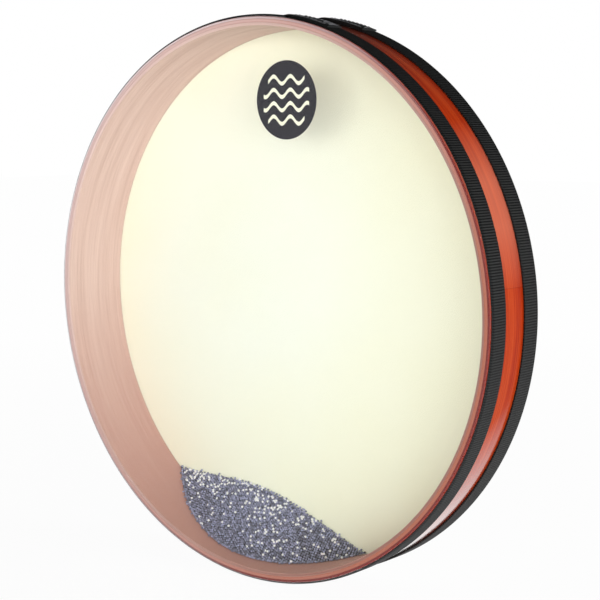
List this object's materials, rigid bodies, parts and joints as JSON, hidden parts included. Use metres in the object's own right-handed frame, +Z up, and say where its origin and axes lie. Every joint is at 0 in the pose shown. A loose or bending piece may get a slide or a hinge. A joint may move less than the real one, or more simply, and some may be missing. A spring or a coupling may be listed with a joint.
{
  "type": "ocean drum",
  "caption": "Ocean drum: shallow ply shell with a clear film head, an ivory film head and loose beads between them.",
  "frame": {"origin": "on the floor under the middle of the shell, with the drum standing on its rim", "axes": "+Z up, -Y the way the clear head faces, so that the shell's own axis is Y; +X to the right as the clear head is looked at"},
  "size_m": [0.512, 0.0706, 0.5119],
  "materials": {
    "stained_wood": "red-brown stain under satin lacquer, straight grain along the shell",
    "core_wood": "plain ply, unstained",
    "inner_wood": "red-brown stain, matt, straight grain along the shell",
    "clear_film": "clear synthetic drum film with a slight milky haze",
    "ivory_film": "ivory synthetic drum film, fine fibrous mottle, satin",
    "webbing": "black woven nylon webbing with fine cross ribs",
    "thread": "black sewing thread",
    "staple_wire": "galvanised flat wire",
    "badge_ink": "dark grey printed disc, satin",
    "badge_cream": "cream print",
    "steel_shot": "small blued steel balls, satin",
    "white_beads": "small white plastic balls, satin"
  },
  "bodies": {
    "drum": {"shell_outer_ply": "stained_wood", "shell_core_ply": "core_wood", "shell_inner_ply": "inner_wood", "front_head": "clear_film", "rear_head": "ivory_film", "front_webbing": "webbing", "rear_webbing": "webbing", "front_lap_stitches": "thread", "rear_lap_stitches": "thread", "front_staples": "staple_wire", "rear_staples": "staple_wire", "head_badge": "badge_ink", "badge_waves": "badge_cream"},
    "beads_far_left": {"shot_far_left": "steel_shot", "white_beads_far_left": "white_beads"},
    "beads_left": {"shot_left": "steel_shot", "white_beads_left": "white_beads"},
    "beads_middle": {"shot_middle": "steel_shot", "white_beads_middle": "white_beads"},
    "beads_right": {"shot_right": "steel_shot", "white_beads_right": "white_beads"},
    "beads_far_right": {"shot_far_right": "steel_shot", "white_beads_far_right": "white_beads"}
  },
  "joints": [
    {"name": "bead_sweep", "type": "hinge", "parent": "drum", "child": "beads_middle", "pos_m": [0, 0, 0.25595], "axis": [0, -1, 0], "continuous": true},
    {"name": "spread_left", "type": "hinge", "parent": "beads_middle", "child": "beads_left", "pos_m": [0, 0, 0.25595], "axis": [0, -1, 0], "range_deg": [-30, 0]},
    {"name": "spread_far_left", "type": "hinge", "parent": "beads_left", "child": "beads_far_left", "pos_m": [0, 0, 0.25595], "axis": [0, -1, 0], "range_deg": [-30, 0]},
    {"name": "spread_right", "type": "hinge", "parent": "beads_middle", "child": "beads_right", "pos_m": [0, 0, 0.25595], "axis": [0, -1, 0], "range_deg": [0, 30]},
    {"name": "spread_far_right", "type": "hinge", "parent": "beads_right", "child": "beads_far_right", "pos_m": [0, 0, 0.25595], "axis": [0, -1, 0], "range_deg": [0, 30]}
  ]
}
